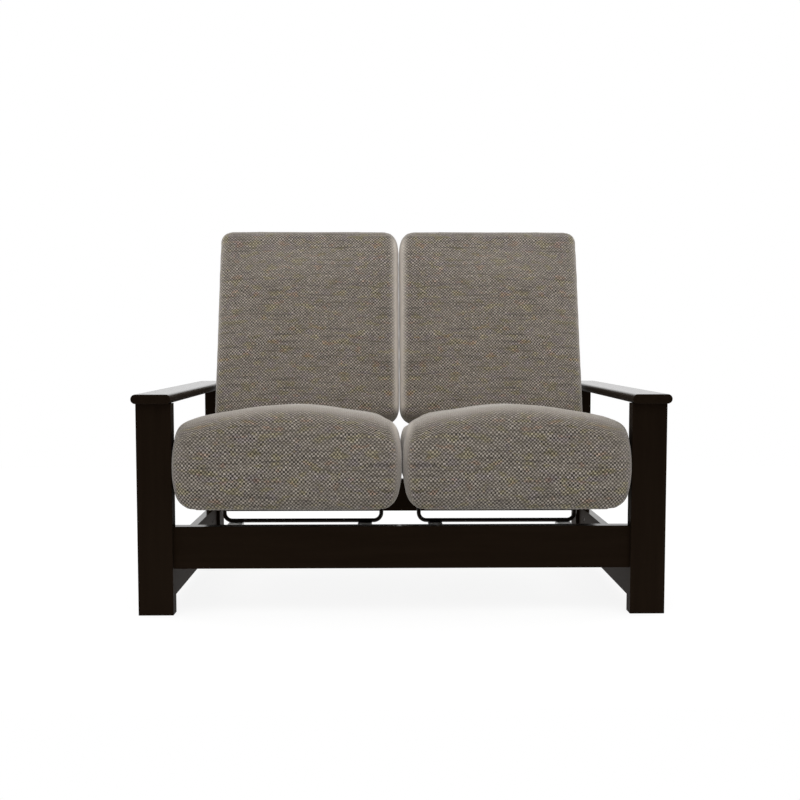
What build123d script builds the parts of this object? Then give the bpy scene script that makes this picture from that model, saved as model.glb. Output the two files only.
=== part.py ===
from build123d import *
from math import atan, cos, degrees, radians, sin, tan
import os

os.makedirs("parts", exist_ok=True)

# Patio loveseat on a board frame, with two seats that rock on leaf springs, each by itself.
# Millimetres. X runs across, Y from front to back, Z up from the floor.
# The origin is on the floor, under the middle of the whole outline.

# Arms
overall_width = 1440.0
arm_top = 598.5
arm_width = 106.0
arm_thickness = 25.5
arm_length = 930.0
arm_end_round = 3.0
arm_overhang = 16.0

# Legs and the glides they stand on
front_leg_width = 94.0
front_leg_depth = 39.0
front_leg_inset = 9.0
rear_leg_width = 48.0
rear_leg_depth = 84.0
rear_leg_step = 15.0
leg_round = 1.5
glide_diameter = 26.0
glide_thickness = 4.5
glide_show = 1.5

# Rails
rail_thickness = 30.0
rail_height = 115.0
front_rail_bottom = 126.0
rear_rail_bottom = 135.5
side_rail_thickness = 25.5
side_rail_height = 139.0
side_rail_bottom = 18.0
rail_round = 1.5

# Dowels between legs and arms
dowel_diameter = 10.0
dowel_length = 40.0
dowel_in_arm = 15.0
dowel_gap = 0.1
dowel_pitch = 50.0

# Corner brackets bent from steel strip, and their screws
strip_thickness = 3.0
strip_width = 24.0
strip_gap_to_edge = 3.0
front_bracket_reach = 50.0
side_bracket_reach = 62.0
rear_bracket_reach = 55.0
strip_bend_radius = 4.5
screw_shank = 4.5
screw_hole = 5.0
screw_head = 9.0
screw_head_height = 2.6
screw_length = 20.0
screw_from_end = 11.0
screw_drive = 3.0
screw_drive_depth = 1.4

# Long bolts from the rear legs into cross nuts in the side rails
bolt_diameter = 8.0
bolt_hole = 8.6
bolt_head = 16.0
bolt_head_height = 4.4
bolt_drive = 6.0
bolt_drive_depth = 2.8
cross_nut_diameter = 14.0
cross_nut_setback = 79.0
cross_nut_height = 104.0
cross_nut_gap = 0.15
cross_nut_slot = 1.6

# Channel across the frame that carries the springs
beam_from_leg = 110.0
beam_width = 50.0
beam_height = 36.0
beam_wall = 3.0
beam_flange_width = 80.0
beam_flange_height = 56.0
beam_screw_pitch = 62.0

# Leaf springs
leaf_width = 43.5
leaf_thickness = 9.3
leaf_top = 170.0
leaf_inner_inset = 51.5
leaf_outer_inset = 35.5
leaf_tail = 26.0
leaf_nose = 5.0
leaf_round = 6.0
leaf_bolt_pitch = 24.0
leaf_bolt = 8.0
leaf_bolt_hole = 8.6
leaf_bolt_head = 13.0
leaf_bolt_head_height = 5.3
leaf_bolt_nut_height = 6.5

# Cradle rods under the seats
rod_diameter = 12.7
rod_from_leg = 404.0
rod_bend = 24.0

# Seat and back frame of each seat, in round tube
tube_diameter = 25.4
tube_wall = 2.0
tube_inset = 57.5
seat_slope = 5.0
back_recline = 16.8
seat_axis_at_rod = 265.0
seat_tube_front = 51.0
frame_corner_from_rod = 158.0
tube_bend = 76.0
back_height = 834.0
hoop_bend = 60.0
hoop_leg = 40.0
front_tube_from_end = 30.0
rear_tube_before_bend = 21.0
lower_back_tube_height = 195.0
plug_flange = 3.0
plug_stem = 16.0
plug_gap = 0.15
weld_gap = 0.1

# Straps that carry the cushions
strap_width = 42.0
strap_thickness = 2.5
strap_hook = 16.0
strap_gap = 0.2
front_strap_count = 5
back_strap_count = 7

# Cushions, as wide as the room between the arms allows
cushion_arm_gap = 4.5
cushion_gap = 3.0
seat_cushion_front = 130.5
seat_cushion_side = 198.0
seat_cushion_crown = 53.0
seat_cushion_roll = 55.0
seat_cushion_corner = 50.0
seat_cushion_shoulder = 28.0
seat_cushion_waist = 2.0
seat_cushion_droop = 34.0
seat_droop_end_gap = 18.0
seat_cushion_rear_gap = 4.0
seat_cushion_press = 47.0
seat_press_start = 130.0
seat_press_length = 230.0
back_cushion_start = 206.0
back_cushion_length = 664.0
back_cushion_side = 118.0
back_cushion_crown = 34.0
back_cushion_roll = 34.0
back_cushion_corner = 36.0
back_cushion_shoulder = 40.0
back_cushion_waist = 2.0
cushion_clear = 0.4
roll_steps = 4
waist_steps = 6
corner_share = 0.45
cushion_lean = 14.0
HALF = 0.5

# Places that follow from the sizes above
cushion_overhang = 20.8
cushion_width = overall_width / 2 - arm_width - cushion_arm_gap - cushion_gap / 2
seat_centre_x = (cushion_width + cushion_gap) / 2
tube_spacing = cushion_width - 2 * tube_inset
total_depth = arm_length + cushion_overhang
arm_front_y = -total_depth / 2 + cushion_overhang
arm_rear_y = arm_front_y + arm_length
leg_front_y = arm_front_y + arm_overhang
leg_back_y = leg_front_y + front_leg_depth
rear_leg_back_y = arm_rear_y - arm_overhang
rear_leg_front_y = rear_leg_back_y - rear_leg_depth
arm_centre_x = (overall_width - arm_width) / 2
arm_bottom = arm_top - arm_thickness
front_leg_outer_x = overall_width / 2 - front_leg_inset
front_leg_inner_x = front_leg_outer_x - front_leg_width
front_leg_x = (front_leg_outer_x + front_leg_inner_x) / 2
rear_leg_inner_x = front_leg_inner_x + rear_leg_step
rear_leg_x = rear_leg_inner_x + rear_leg_width / 2
side_rail_inner_x = rear_leg_x - side_rail_thickness / 2
side_rail_length = rear_leg_front_y - leg_back_y
rear_rail_y = (rear_leg_front_y + rear_leg_back_y) / 2
front_rail_y = leg_back_y - rail_thickness / 2
bracket_bottom = front_rail_bottom + strip_gap_to_edge
rear_bracket_bottom = rear_rail_bottom + strip_gap_to_edge
cross_nut_y = rear_leg_front_y - cross_nut_setback
cross_nut_z = side_rail_bottom + cross_nut_height
leaf_bottom = leaf_top - leaf_thickness
beam_y = leg_back_y + beam_from_leg + beam_width / 2
beam_screw_z = leaf_bottom - beam_height / 2
rod_y = leg_back_y + rod_from_leg
rod_z = leaf_top + rod_diameter / 2
leaf_front_y = beam_y - beam_width / 2 - leaf_nose
leaf_rear_y = rod_y + leaf_tail
tube_radius = tube_diameter / 2
half_spacing = tube_spacing / 2
leaf_inner_x = seat_centre_x - half_spacing + leaf_inner_inset
leaf_outer_x = seat_centre_x + half_spacing - leaf_outer_inset
support_height = tube_radius + strap_thickness + strap_gap + cushion_clear

# Directions of the seat and of the back, as seen from the side
seat_run = Vector(0, cos(radians(seat_slope)), -sin(radians(seat_slope)))
seat_normal = Vector(0, sin(radians(seat_slope)), cos(radians(seat_slope)))
back_run = Vector(0, sin(radians(back_recline)), cos(radians(back_recline)))
back_normal = Vector(0, -cos(radians(back_recline)), sin(radians(back_recline)))
frame_turn = 90 - back_recline + seat_slope
bend_setback = tube_bend * tan(radians(frame_turn / 2))
rod_on_seat = Vector(0, rod_y, seat_axis_at_rod)
frame_corner = rod_on_seat + seat_run * frame_corner_from_rod
seat_front_end = Vector(0, leg_back_y + seat_tube_front, 0)
seat_length = (frame_corner.Y - seat_front_end.Y) / seat_run.Y
seat_start = frame_corner - seat_run * seat_length
rod_station = seat_length - frame_corner_from_rod
rear_tube_station = seat_length - bend_setback - rear_tube_before_bend
hoop_start = back_height - hoop_bend - hoop_leg


def across(sign, offset=0.0):
    """X of a point on one seat, from that seat's middle; the offset grows outwards."""
    return sign * (seat_centre_x + offset)


def seat_point(station, height=0.0):
    """A point above the tubes' axis, at a distance back from the front of the side tubes."""
    return seat_start + seat_run * station + seat_normal * height


def back_point(station, height=0.0):
    """A point in front of the back tubes' axis, at a distance up from the frame's corner."""
    return frame_corner + back_run * station + back_normal * height


def save(builder, name):
    builder.part.label = name
    export_step(builder.part, f"parts/{name}.step")


def round_long_edges(builder, axis, radius):
    fillet(builder.edges().filter_by(axis), radius=radius)


# Arms: boards with round long edges, on dowels in the leg tops
def dowel_places(sign):
    """Centres of the dowels over the two legs of one side."""
    front_y = leg_front_y + front_leg_depth / 2
    rear_y = (rear_leg_front_y + rear_leg_back_y) / 2
    half = dowel_pitch / 2
    return [
        (sign * (front_leg_x - half), front_y),
        (sign * (front_leg_x + half), front_y),
        (sign * rear_leg_x, rear_y - half),
        (sign * rear_leg_x, rear_y + half),
    ]


dowel_bottom = arm_bottom - (dowel_length - dowel_in_arm)
dowel_bore = dowel_diameter / 2 + dowel_gap

for side, sign in (("left", -1), ("right", 1)):
    with BuildPart() as arm:
        with BuildSketch(Plane.XZ.offset(-arm_front_y)):
            with Locations((sign * arm_centre_x, arm_bottom + arm_thickness / 2)):
                SlotOverall(arm_width, arm_thickness)
        extrude(amount=-arm_length)
        fillet(arm.edges().group_by(Axis.Y)[0], radius=arm_end_round)
        fillet(arm.edges().group_by(Axis.Y)[-1], radius=arm_end_round)
        with BuildSketch(Plane.XY.offset(arm_bottom)):
            with Locations(*dowel_places(sign)):
                Circle(dowel_bore)
        extrude(amount=dowel_in_arm + dowel_gap, mode=Mode.SUBTRACT)
    save(arm, f"arm_{side}")

    with BuildPart() as front_leg:
        with BuildSketch(Plane.XY.offset(glide_show)):
            with Locations((sign * front_leg_x, leg_front_y + front_leg_depth / 2)):
                Rectangle(front_leg_width, front_leg_depth)
        extrude(amount=arm_bottom - glide_show)
        round_long_edges(front_leg, Axis.Z, leg_round)
        with BuildSketch(Plane.XY.offset(arm_bottom)):
            with Locations(*dowel_places(sign)[:2]):
                Circle(dowel_bore)
        extrude(amount=dowel_bottom - dowel_gap - arm_bottom, mode=Mode.SUBTRACT)
        with BuildSketch(Plane.XY.offset(glide_show)):
            with Locations((sign * front_leg_x, leg_front_y + front_leg_depth / 2)):
                Circle(glide_diameter / 2)
        extrude(amount=glide_thickness - glide_show, mode=Mode.SUBTRACT)
    save(front_leg, f"front_leg_{side}")

    with BuildPart() as rear_leg:
        with BuildSketch(Plane.XY.offset(glide_show)):
            with Locations((sign * rear_leg_x, rear_rail_y)):
                Rectangle(rear_leg_width, rear_leg_depth)
        extrude(amount=arm_bottom - glide_show)
        round_long_edges(rear_leg, Axis.Z, leg_round)
        with BuildSketch(Plane.XY.offset(arm_bottom)):
            with Locations(*dowel_places(sign)[2:]):
                Circle(dowel_bore)
        extrude(amount=dowel_bottom - dowel_gap - arm_bottom, mode=Mode.SUBTRACT)
        with BuildSketch(Plane.XY.offset(glide_show)):
            with Locations((sign * rear_leg_x, rear_rail_y)):
                Circle(glide_diameter / 2)
        extrude(amount=glide_thickness - glide_show, mode=Mode.SUBTRACT)
        with BuildSketch(Plane.XZ.offset(-rear_leg_front_y)):
            with Locations((sign * rear_leg_x, cross_nut_z)):
                Circle(bolt_hole / 2)
        extrude(amount=-rear_leg_depth, mode=Mode.SUBTRACT)
    save(rear_leg, f"rear_leg_{side}")

    with BuildPart() as side_rail:
        with BuildSketch(Plane.XZ.offset(-leg_back_y)):
            with Locations((sign * rear_leg_x, side_rail_bottom + side_rail_height / 2)):
                Rectangle(side_rail_thickness, side_rail_height)
        extrude(amount=-side_rail_length)
        round_long_edges(side_rail, Axis.Y, rail_round)
        with BuildSketch(Plane.YZ.offset(sign * rear_leg_x)):
            with Locations((cross_nut_y, cross_nut_z)):
                Circle(cross_nut_diameter / 2 + cross_nut_gap)
        extrude(amount=side_rail_thickness, both=True, mode=Mode.SUBTRACT)
        with BuildSketch(Plane.XZ.offset(-rear_leg_front_y)):
            with Locations((sign * rear_leg_x, cross_nut_z)):
                Circle(bolt_hole / 2)
        extrude(amount=cross_nut_setback, mode=Mode.SUBTRACT)
    save(side_rail, f"side_rail_{side}")

with BuildPart() as arm_dowels:
    with BuildSketch(Plane.XY.offset(dowel_bottom)):
        with Locations(*dowel_places(-1), *dowel_places(1)):
            Circle(dowel_diameter / 2)
    extrude(amount=dowel_length)
save(arm_dowels, "arm_dowels")

with BuildPart() as foot_glides:
    with BuildSketch(Plane.XY):
        with Locations(
            *[(sign * front_leg_x, leg_front_y + front_leg_depth / 2) for sign in (-1, 1)],
            *[(sign * rear_leg_x, rear_rail_y) for sign in (-1, 1)],
        ):
            Circle(glide_diameter / 2)
    extrude(amount=glide_thickness)
    chamfer(foot_glides.edges().group_by(Axis.Z)[0], length=glide_show / 2)
save(foot_glides, "foot_glides")

# Front and rear rails: boards between the legs
with BuildPart() as front_rail:
    with BuildSketch(Plane.YZ):
        with Locations((front_rail_y, front_rail_bottom + rail_height / 2)):
            Rectangle(rail_thickness, rail_height)
    extrude(amount=front_leg_inner_x, both=True)
    round_long_edges(front_rail, Axis.X, rail_round)
save(front_rail, "front_rail")

with BuildPart() as rear_rail:
    with BuildSketch(Plane.YZ):
        with Locations((rear_rail_y, rear_rail_bottom + rail_height / 2)):
            Rectangle(rail_thickness, rail_height)
    extrude(amount=rear_leg_inner_x, both=True)
    round_long_edges(rear_rail, Axis.X, rail_round)
save(rear_rail, "rear_rail")


# Corner brackets: steel strip bent to an angle
def bracket_outline(height, corner, across_reach, along_reach, sign, run):
    """Outline of a bent strip in plan, from its outer corner; run is 1 to the back, -1 forward."""
    x, y = corner
    inner_x = x - sign * strip_thickness
    inner_y = y + run * strip_thickness
    with BuildSketch(Plane.XY.offset(height)) as outline:
        with BuildLine():
            Polyline(
                (x, y),
                (x - sign * across_reach, y),
                (x - sign * across_reach, inner_y),
                (inner_x, inner_y),
                (inner_x, y + run * along_reach),
                (x, y + run * along_reach),
                close=True,
            )
        make_face()
    return outline.sketch


front_corner = {sign: (sign * side_rail_inner_x, leg_back_y) for sign in (-1, 1)}
rear_corner_y = rear_rail_y - rail_thickness / 2
rear_corner = {sign: (sign * rear_leg_inner_x, rear_corner_y) for sign in (-1, 1)}
front_across = side_rail_inner_x - front_leg_inner_x + front_bracket_reach
rear_along = rear_corner_y - rear_leg_front_y - strip_gap_to_edge
bracket_mid_z = bracket_bottom + strip_width / 2
rear_bracket_mid_z = rear_bracket_bottom + strip_width / 2
across_screw_xs = (
    front_corner[1][0] - front_across + screw_from_end,
    front_leg_inner_x + screw_from_end,
)
along_screw_ys = (
    leg_back_y + side_bracket_reach - screw_from_end,
    leg_back_y + side_bracket_reach / 2 - screw_from_end / 2,
)
rear_screw_xs = (
    rear_leg_inner_x - rear_bracket_reach + screw_from_end,
    rear_leg_inner_x - rear_bracket_reach / 2,
)
rear_screw_y = rear_corner_y - rear_along + screw_from_end / 2

with BuildPart() as front_brackets:
    for sign in (-1, 1):
        reach = (front_across, side_bracket_reach)
        outline = bracket_outline(bracket_bottom, front_corner[sign], *reach, sign, 1)
        extrude(outline, amount=strip_width)
    bend_edges = [
        edge
        for edge in front_brackets.edges().filter_by(Axis.Z)
        if abs(abs(edge.center().X) - side_rail_inner_x + strip_thickness) < strip_thickness / 2
        and abs(edge.center().Y - leg_back_y - strip_thickness) < strip_thickness / 2
    ]
    fillet(bend_edges, radius=strip_bend_radius)
    with BuildSketch(Plane.XZ.offset(-leg_back_y)):
        with Locations(*[(sign * x, bracket_mid_z) for sign in (-1, 1) for x in across_screw_xs]):
            Circle(screw_hole / 2)
    extrude(amount=-strip_thickness, mode=Mode.SUBTRACT)
    for sign in (-1, 1):
        with BuildSketch(Plane.YZ.offset(sign * side_rail_inner_x)):
            with Locations(*[(y, bracket_mid_z) for y in along_screw_ys]):
                Circle(screw_hole / 2)
        extrude(amount=-sign * strip_thickness, mode=Mode.SUBTRACT)
save(front_brackets, "front_corner_brackets")

with BuildPart() as rear_brackets:
    for sign in (-1, 1):
        reach = (rear_bracket_reach, rear_along)
        outline = bracket_outline(rear_bracket_bottom, rear_corner[sign], *reach, sign, -1)
        extrude(outline, amount=strip_width)
    with BuildSketch(Plane.XZ.offset(-rear_corner_y)):
        with Locations(*[(sign * x, rear_bracket_mid_z) for sign in (-1, 1) for x in rear_screw_xs]):
            Circle(screw_hole / 2)
    extrude(amount=strip_thickness, mode=Mode.SUBTRACT)
    for sign in (-1, 1):
        with BuildSketch(Plane.YZ.offset(sign * rear_leg_inner_x)):
            with Locations((rear_screw_y, rear_bracket_mid_z)):
                Circle(screw_hole / 2)
        extrude(amount=-sign * strip_thickness, mode=Mode.SUBTRACT)
save(rear_brackets, "rear_corner_brackets")


# Screws with low round heads, driven through the brackets and the beam's flanges
def low_head_screw():
    """A screw that points along +Z from the face that its head bears on."""
    with BuildPart() as screw:
        with BuildSketch(Plane.XY):
            Circle(screw_head / 2)
        extrude(amount=-screw_head_height)
        chamfer(screw.edges().group_by(Axis.Z)[0], length=screw_head_height / 2)
        with BuildSketch(Plane.XY.offset(-screw_head_height)):
            RegularPolygon(screw_drive / 2, 6, major_radius=False)
        extrude(amount=screw_drive_depth, mode=Mode.SUBTRACT)
        with BuildSketch(Plane.XY):
            Circle(screw_shank / 2)
        extrude(amount=screw_length)
    return screw.part


def bracket_screw_places():
    """Each screw's seat, facing the way that the screw is driven."""
    places = []
    for sign in (-1, 1):
        for x in across_screw_xs:
            point = (sign * x, leg_back_y + strip_thickness, bracket_mid_z)
            places.append(Plane(origin=point, z_dir=(0, -1, 0)))
        for y in along_screw_ys:
            point = (sign * (side_rail_inner_x - strip_thickness), y, bracket_mid_z)
            places.append(Plane(origin=point, z_dir=(sign, 0, 0)))
        for x in rear_screw_xs:
            point = (sign * x, rear_corner_y - strip_thickness, rear_bracket_mid_z)
            places.append(Plane(origin=point, z_dir=(0, 1, 0)))
        point = (sign * (rear_leg_inner_x - strip_thickness), rear_screw_y, rear_bracket_mid_z)
        places.append(Plane(origin=point, z_dir=(sign, 0, 0)))
    return places


def beam_screw_places():
    places = []
    for sign in (-1, 1):
        for offset in (-beam_screw_pitch / 2, beam_screw_pitch / 2):
            point = (sign * (side_rail_inner_x - beam_wall), beam_y + offset, beam_screw_z)
            places.append(Plane(origin=point, z_dir=(sign, 0, 0)))
    return places


board_screw = low_head_screw()

with BuildPart() as bracket_screws:
    with Locations(*bracket_screw_places()):
        add(board_screw)
save(bracket_screws, "bracket_screws")

with BuildPart() as beam_screws:
    with Locations(*beam_screw_places()):
        add(board_screw)
save(beam_screws, "beam_screws")

# Long bolts through the rear legs, and the cross nuts that they pull on
with BuildPart() as rail_bolts:
    with BuildSketch(Plane.XZ.offset(-rear_leg_back_y)):
        with Locations(*[(sign * rear_leg_x, cross_nut_z) for sign in (-1, 1)]):
            Circle(bolt_diameter / 2)
    extrude(amount=rear_leg_depth + cross_nut_setback - cross_nut_diameter / 2)
    with BuildSketch(Plane.XZ.offset(-rear_leg_back_y)):
        with Locations(*[(sign * rear_leg_x, cross_nut_z) for sign in (-1, 1)]):
            Circle(bolt_head / 2)
    extrude(amount=-bolt_head_height)
    chamfer(rail_bolts.edges().group_by(Axis.Y)[-1], length=bolt_head_height / 2)
    with BuildSketch(Plane.XZ.offset(-rear_leg_back_y - bolt_head_height)):
        with Locations(*[(sign * rear_leg_x, cross_nut_z) for sign in (-1, 1)]):
            RegularPolygon(bolt_drive / 2, 6, major_radius=False)
    extrude(amount=bolt_drive_depth, mode=Mode.SUBTRACT)
save(rail_bolts, "rail_bolts")

with BuildPart() as cross_nuts:
    for sign in (-1, 1):
        with BuildSketch(Plane.YZ.offset(sign * rear_leg_x)):
            with Locations((cross_nut_y, cross_nut_z)):
                Circle(cross_nut_diameter / 2)
        extrude(amount=side_rail_thickness / 2 - rail_round, both=True)
        with BuildSketch(Plane.YZ.offset(sign * (side_rail_inner_x + rail_round))):
            with Locations((cross_nut_y, cross_nut_z)):
                Rectangle(cross_nut_slot, cross_nut_diameter)
        extrude(amount=sign * cross_nut_slot, mode=Mode.SUBTRACT)
save(cross_nuts, "cross_nuts")

# Channel across the frame, open below, with a flange welded on each end
leaf_xs = [sign * x for sign in (-1, 1) for x in (leaf_inner_x, leaf_outer_x)]
leaf_bolt_places = [
    (x, beam_y + offset) for x in leaf_xs for offset in (-leaf_bolt_pitch / 2, leaf_bolt_pitch / 2)
]

with BuildPart() as spring_beam:
    with BuildSketch(Plane.YZ):
        with Locations((beam_y, beam_screw_z)):
            Rectangle(beam_width, beam_height)
        with Locations((beam_y, beam_screw_z - beam_wall)):
            Rectangle(beam_width - 2 * beam_wall, beam_height, mode=Mode.SUBTRACT)
    extrude(amount=side_rail_inner_x - beam_wall, both=True)
    for sign in (-1, 1):
        with BuildSketch(Plane.YZ.offset(sign * side_rail_inner_x)):
            with Locations((beam_y, leaf_bottom - beam_flange_height / 2)):
                Rectangle(beam_flange_width, beam_flange_height)
            with Locations(
                (beam_y - beam_screw_pitch / 2, beam_screw_z),
                (beam_y + beam_screw_pitch / 2, beam_screw_z),
            ):
                Circle(screw_hole / 2, mode=Mode.SUBTRACT)
        extrude(amount=-sign * beam_wall)
    with BuildSketch(Plane.XY.offset(leaf_bottom)):
        with Locations(*leaf_bolt_places):
            Circle(leaf_bolt_hole / 2)
    extrude(amount=-beam_wall, mode=Mode.SUBTRACT)
save(spring_beam, "spring_beam")

with BuildPart() as spring_bolts:
    with BuildSketch(Plane.XY.offset(leaf_top)):
        with Locations(*leaf_bolt_places):
            RegularPolygon(leaf_bolt_head / 2, 6, major_radius=False)
    extrude(amount=leaf_bolt_head_height)
    with BuildSketch(Plane.XY.offset(leaf_top)):
        with Locations(*leaf_bolt_places):
            Circle(leaf_bolt / 2)
    extrude(amount=-leaf_thickness - beam_wall - leaf_bolt_nut_height)
    with BuildSketch(Plane.XY.offset(leaf_bottom - beam_wall)):
        with Locations(*leaf_bolt_places):
            RegularPolygon(leaf_bolt_head / 2, 6, major_radius=False)
    extrude(amount=-leaf_bolt_nut_height)
save(spring_bolts, "spring_bolts")


# Round tube, hollow and open at its ends, along a bent path
def bent_tube(points, bend):
    with BuildPart() as tube:
        with BuildLine() as path:
            FilletPolyline(*points, radius=bend)
        with BuildSketch(Plane(origin=path.line @ 0, z_dir=path.line % 0)):
            Circle(tube_radius)
            Circle(tube_radius - tube_wall, mode=Mode.SUBTRACT)
        sweep(path=path.line)
    return tube.part


def cross_tube(middle, side_run):
    """A straight tube across one seat, its ends shaped to sit on the two side tubes."""
    with BuildPart() as tube:
        with BuildSketch(Plane.YZ.offset(middle.X)):
            with Locations((middle.Y, middle.Z)):
                Circle(tube_radius)
                Circle(tube_radius - tube_wall, mode=Mode.SUBTRACT)
        extrude(amount=half_spacing, both=True)
        for offset in (-half_spacing, half_spacing):
            with BuildSketch(Plane(origin=middle + Vector(offset, 0, 0), z_dir=side_run)):
                Circle(tube_radius + weld_gap)
            extrude(amount=tube_diameter, both=True, mode=Mode.SUBTRACT)
    return tube.part


def strap(middle, run, normal):
    """A flat band over both side tubes of a seat, hooked under them at its ends."""
    band = Plane(origin=middle, x_dir=(1, 0, 0), z_dir=run)
    up = 1 if band.y_dir.dot(normal) > 0 else -1
    inner = tube_diameter + 2 * strap_gap
    outer = inner + 2 * strap_thickness
    with BuildPart() as loop:
        with BuildSketch(band):
            SlotCenterToCenter(tube_spacing, outer)
            SlotCenterToCenter(tube_spacing, inner, mode=Mode.SUBTRACT)
            with Locations((0, -up * outer / 2)):
                Rectangle(tube_spacing - 2 * strap_hook, outer, mode=Mode.SUBTRACT)
        extrude(amount=strap_width / 2, both=True)
    return loop.part


def spread(start, end, count):
    """Middles of equal shares of a length."""
    pitch = (end - start) / count
    return [start + pitch * (index + HALF) for index in range(count)]


# A cushion in sections along its length, each with a flat base, bulging sides and a crowned top
def corner_arc(centre, radius, angles, hand):
    """Three points on the round corner of a section, on its right or mirrored to its left."""
    return [
        (hand * (centre[0] + radius * cos(radians(angle))), centre[1] + radius * sin(radians(angle)))
        for angle in (angles[0], (angles[0] + angles[1]) / 2, angles[1])
    ]


def cushion(point, x, run, stations, side, crown, corner, shoulder):
    """Loft of sections; each station is (place, inset, base, half width, press on the crown)."""
    with BuildPart() as body:
        for place, inset, base, half_width, press in stations:
            origin = point(place, support_height) + Vector(x, 0, 0)
            edge = half_width - inset
            low = base + inset
            high = side - inset
            low_turn = min(corner, (high - low) * corner_share)
            high_turn = min(shoulder, (high - low) * corner_share)
            straight = high - low - (low_turn + high_turn) * (1 - sin(radians(cushion_lean)))
            inner = edge - straight / 2 * tan(radians(cushion_lean / 2))
            low_x = inner - low_turn * cos(radians(cushion_lean))
            high_x = inner - high_turn * cos(radians(cushion_lean))
            rise = (crown - press) * (1 - inset / side)
            slope = degrees(2 * atan(rise / high_x))
            with BuildSketch(Plane(origin=origin, x_dir=(1, 0, 0), z_dir=-run)):
                with BuildLine():
                    Line((-low_x, low), (low_x, low))
                    for hand in (1, -1):
                        low_centre, high_centre = (low_x, low + low_turn), (high_x, high - high_turn)
                        below = corner_arc(low_centre, low_turn, (-90, -cushion_lean), hand)
                        above = corner_arc(high_centre, high_turn, (cushion_lean, 90 - slope), hand)
                        middle = (hand * edge, (below[-1][1] + above[0][1]) / 2)
                        ThreePointArc(*below)
                        ThreePointArc(below[-1], middle, above[0])
                        ThreePointArc(*above)
                    top_x, top_z = corner_arc(high_centre, high_turn, (cushion_lean, 90 - slope), 1)[-1]
                    ThreePointArc((top_x, top_z), (0, high + rise), (-top_x, top_z))
                make_face()
        loft(ruled=True)
    return body.part


def rolled_stations(start, length, roll, end_roll, waist, droop, droop_length, press):
    """Sections that round both ends of a cushion, with its sides drawn in between its corners."""
    half_width = cushion_width / 2
    stations = []
    for step in range(roll_steps + 1):
        angle = radians(90 * step / roll_steps)
        place = start + roll * (1 - cos(angle))
        stations.append((place, roll * (1 - sin(angle)), -droop, half_width, 0))
    first = start + max(roll, droop_length)
    last = start + length - end_roll
    for step in range(waist_steps):
        share = step / waist_steps
        place = first + (last - first) * share
        if place > start + roll:
            draw = waist * sin(radians(180 * share))
            stations.append((place, 0, 0, half_width - draw, press * press_share(place)))
    for step in reversed(range(roll_steps + 1)):
        angle = radians(90 * step / roll_steps)
        place = start + length - end_roll * (1 - cos(angle))
        stations.append((place, end_roll * (1 - sin(angle)), 0, half_width, press))
    return stations


def press_share(place):
    """How far the back cushion presses the seat cushion's crown down, from none to all."""
    share = min(max((place - seat_press_start) / seat_press_length, 0), 1)
    return share * share * (3 - 2 * share)


seat_zone = (
    (front_tube_from_end + tube_radius, rod_station - rod_diameter / 2, front_strap_count),
    (rod_station + rod_diameter / 2, rear_tube_station - tube_radius, 1),
)
seat_strap_stations = [place for zone in seat_zone for place in spread(*zone)]
back_strap_stations = spread(lower_back_tube_height + tube_radius, hoop_start, back_strap_count)
bend_start = seat_length - bend_setback
bend_room = tube_bend - support_height
seat_cushion_length = seat_cushion_front + bend_start + bend_room - seat_cushion_rear_gap
seat_stations = rolled_stations(
    -seat_cushion_front,
    seat_cushion_length,
    seat_cushion_roll,
    bend_room,
    seat_cushion_waist,
    seat_cushion_droop,
    seat_cushion_front - seat_droop_end_gap,
    seat_cushion_press,
)
back_stations = rolled_stations(
    back_cushion_start,
    back_cushion_length,
    back_cushion_roll,
    back_cushion_roll,
    back_cushion_waist,
    0,
    0,
    0,
)

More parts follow.
